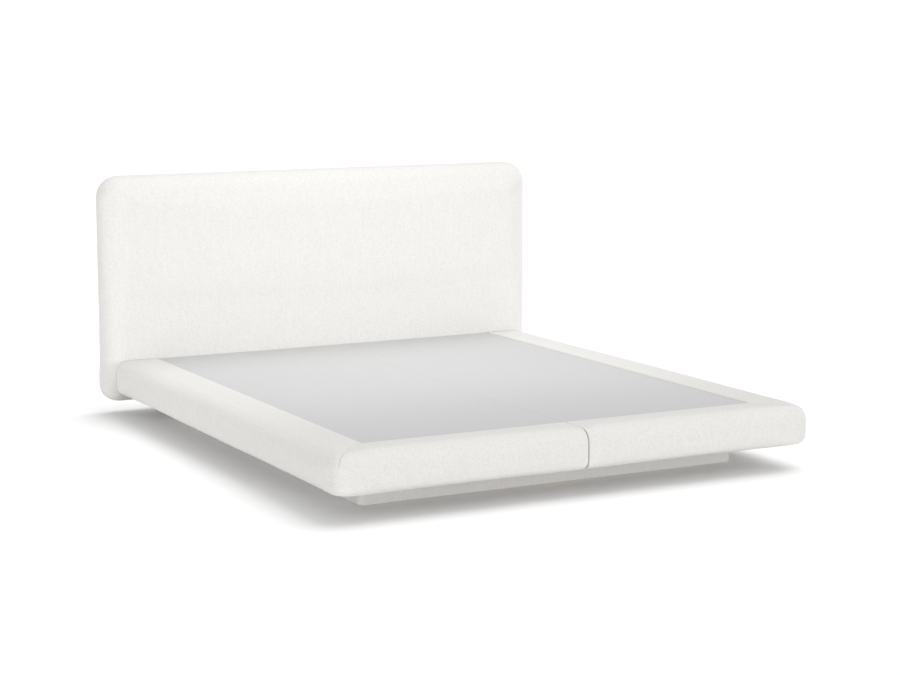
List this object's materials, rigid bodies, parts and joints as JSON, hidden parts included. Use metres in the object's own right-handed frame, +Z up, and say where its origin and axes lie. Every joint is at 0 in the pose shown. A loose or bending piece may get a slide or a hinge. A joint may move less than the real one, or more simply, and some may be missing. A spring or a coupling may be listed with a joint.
{
  "type": "upholstered platform bed",
  "caption": "Low upholstered platform bed: a thick rounded slab headboard, a wide padded rim round a flat grey deck, and a recessed fabric plinth that makes the platform float.",
  "frame": {"origin": "on the floor, at the middle of the bed's bounding box", "axes": "+Z up; +Y from the foot towards the headboard; +X to the right for someone who stands at the foot and looks at the headboard"},
  "size_m": [2.04, 2.34, 1.009],
  "materials": {
    "cream_fabric": "matte",
    "grey_fabric": "matte",
    "foam": "matte",
    "timber": "matte",
    "plywood": "matte",
    "zinc_steel": "satin",
    "black_plastic": "matte"
  },
  "bodies": {
    "bed": {"front_centre_leg": "timber", "headboard_back_cover": "cream_fabric", "headboard_bottom_rail": "timber", "headboard_cover": "cream_fabric", "headboard_foam": "foam", "headboard_front_panel": "plywood", "headboard_left_stile": "timber", "headboard_middle_stile": "timber", "headboard_right_stile": "timber", "headboard_top_rail": "timber", "joining_bolt": "zinc_steel", "left_centre_beam": "timber", "left_deck_board": "plywood", "left_deck_cover": "grey_fabric", "left_foot_cover": "cream_fabric", "left_foot_foam": "foam", "left_foot_inner_apron": "timber", "left_foot_outer_apron": "timber", "left_foot_top_board": "plywood", "left_front_joist": "timber", "left_glide_strip": "black_plastic", "left_head_rail": "timber", "left_headboard_bolt": "zinc_steel", "left_headboard_spacer": "timber", "left_rear_joist": "timber", "left_side_cover": "cream_fabric", "left_side_foam": "foam", "left_side_inner_apron": "timber", "left_side_outer_apron": "timber", "left_side_top_board": "plywood", "plinth_front_board": "timber", "plinth_front_cover": "cream_fabric", "plinth_left_board": "timber", "plinth_left_cover": "cream_fabric", "plinth_rear_board": "timber", "plinth_rear_cover": "cream_fabric", "plinth_right_board": "timber", "plinth_right_cover": "cream_fabric", "rear_centre_leg": "timber", "right_centre_beam": "timber", "right_deck_board": "plywood", "right_deck_cover": "grey_fabric", "right_foot_cover": "cream_fabric", "right_foot_foam": "foam", "right_foot_inner_apron": "timber", "right_foot_outer_apron": "timber", "right_foot_top_board": "plywood", "right_front_joist": "timber", "right_glide_strip": "black_plastic", "right_head_rail": "timber", "right_headboard_bolt": "zinc_steel", "right_headboard_spacer": "timber", "right_rear_joist": "timber", "right_side_cover": "cream_fabric", "right_side_foam": "foam", "right_side_inner_apron": "timber", "right_side_outer_apron": "timber", "right_side_top_board": "plywood"},
    "front_foot": {"front_levelling_foot": "black_plastic"},
    "rear_foot": {"rear_levelling_foot": "black_plastic"}
  },
  "joints": [
    {"name": "front_foot_travel", "type": "slide", "parent": "bed", "child": "front_foot", "axis": [0, 0, -1], "range_m": [0, 0.02]},
    {"name": "rear_foot_travel", "type": "slide", "parent": "bed", "child": "rear_foot", "axis": [0, 0, -1], "range_m": [0, 0.02]}
  ]
}
